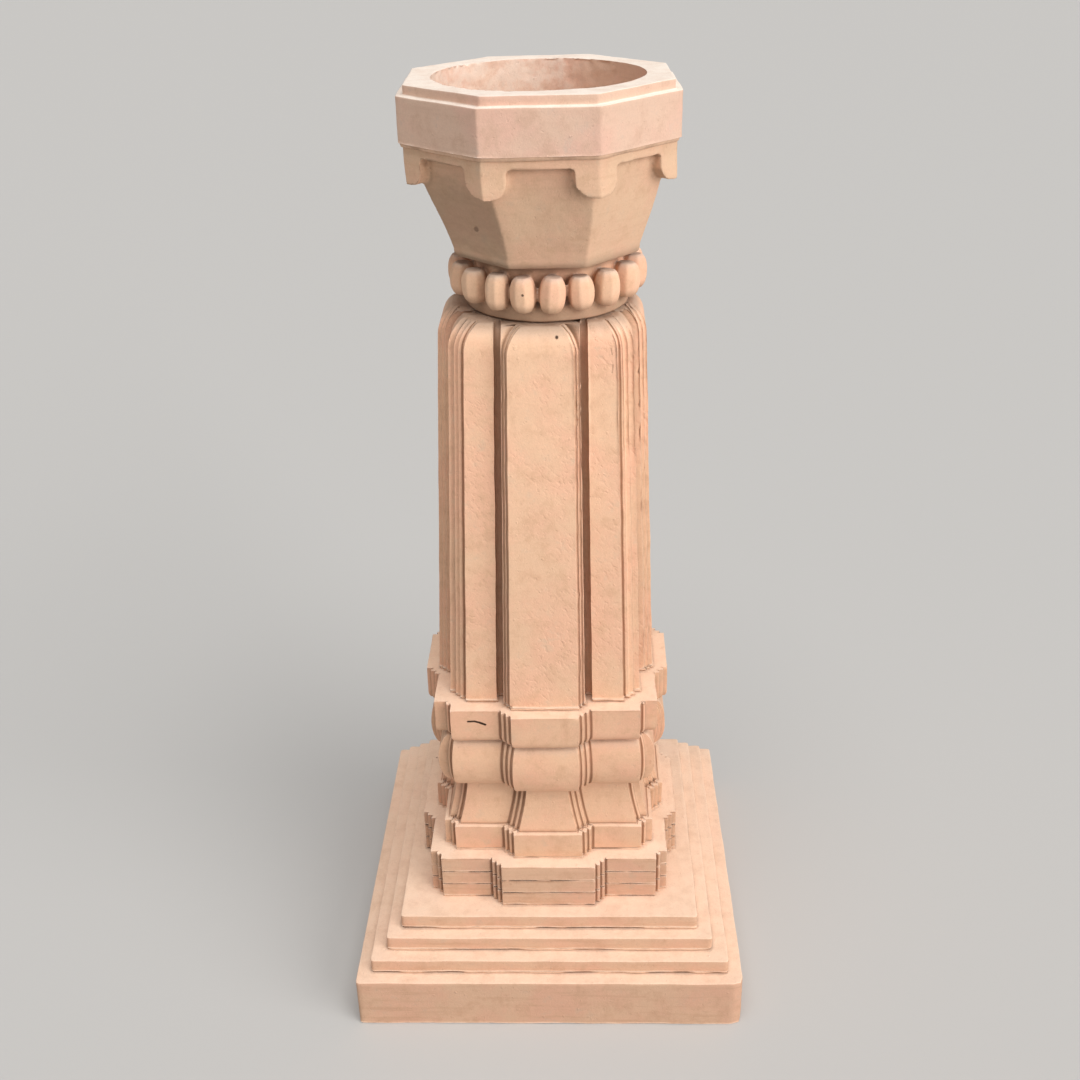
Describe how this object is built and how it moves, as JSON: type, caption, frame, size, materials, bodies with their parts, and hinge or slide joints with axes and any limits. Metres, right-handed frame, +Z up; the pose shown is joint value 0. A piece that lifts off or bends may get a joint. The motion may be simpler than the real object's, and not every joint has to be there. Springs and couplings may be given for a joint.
{
  "type": "pedestal planter",
  "caption": "Sandstone pedestal planter on a stepped square base, with a reeded tapering shaft, a beaded neck and an octagonal bowl that lifts off.",
  "frame": {"origin": "middle of the base slab's underside, on the ground", "axes": "+Z up along the column, -Y towards the front of the picture, +X to the right of the front"},
  "size_m": [0.4, 0.4, 0.9182],
  "materials": {
    "sandstone": "chiselled and rubbed peach sandstone, matt, with pale dusty tops",
    "mortar": "matt dirt-stained lime mortar in thin beds",
    "dowel_steel": "drawn stainless steel rod",
    "drain_plastic": "matt grey pipe"
  },
  "bodies": {
    "pedestal": {"plinth_slab": "sandstone", "lower_step_slab": "sandstone", "middle_step_slab": "sandstone", "upper_step_slab": "sandstone", "foot_lower_layer": "sandstone", "foot_middle_layer": "sandstone", "foot_upper_layer": "sandstone", "skirt_course": "sandstone", "cushion_course": "sandstone", "ledge_course": "sandstone", "shaft": "sandstone", "step_bed_lower": "mortar", "step_bed_middle": "mortar", "step_bed_upper": "mortar", "foot_bed_lower": "mortar", "foot_bed_middle": "mortar", "foot_bed_upper": "mortar", "skirt_bed": "mortar", "cushion_bed": "mortar", "ledge_bed": "mortar", "shaft_bed": "mortar", "step_dowels": "dowel_steel", "foot_dowels": "dowel_steel", "cushion_dowels": "dowel_steel", "shaft_dowels": "dowel_steel", "drain_tube": "drain_plastic"},
    "planter_top": {"bead_ring": "sandstone", "bowl_bed": "mortar", "bowl": "sandstone", "rim_bed": "mortar", "rim_ring": "sandstone"}
  },
  "joints": [
    {"name": "top_lift", "type": "slide", "parent": "pedestal", "child": "planter_top", "axis": [0, 0, 1], "range_m": [0, 0.15]}
  ]
}
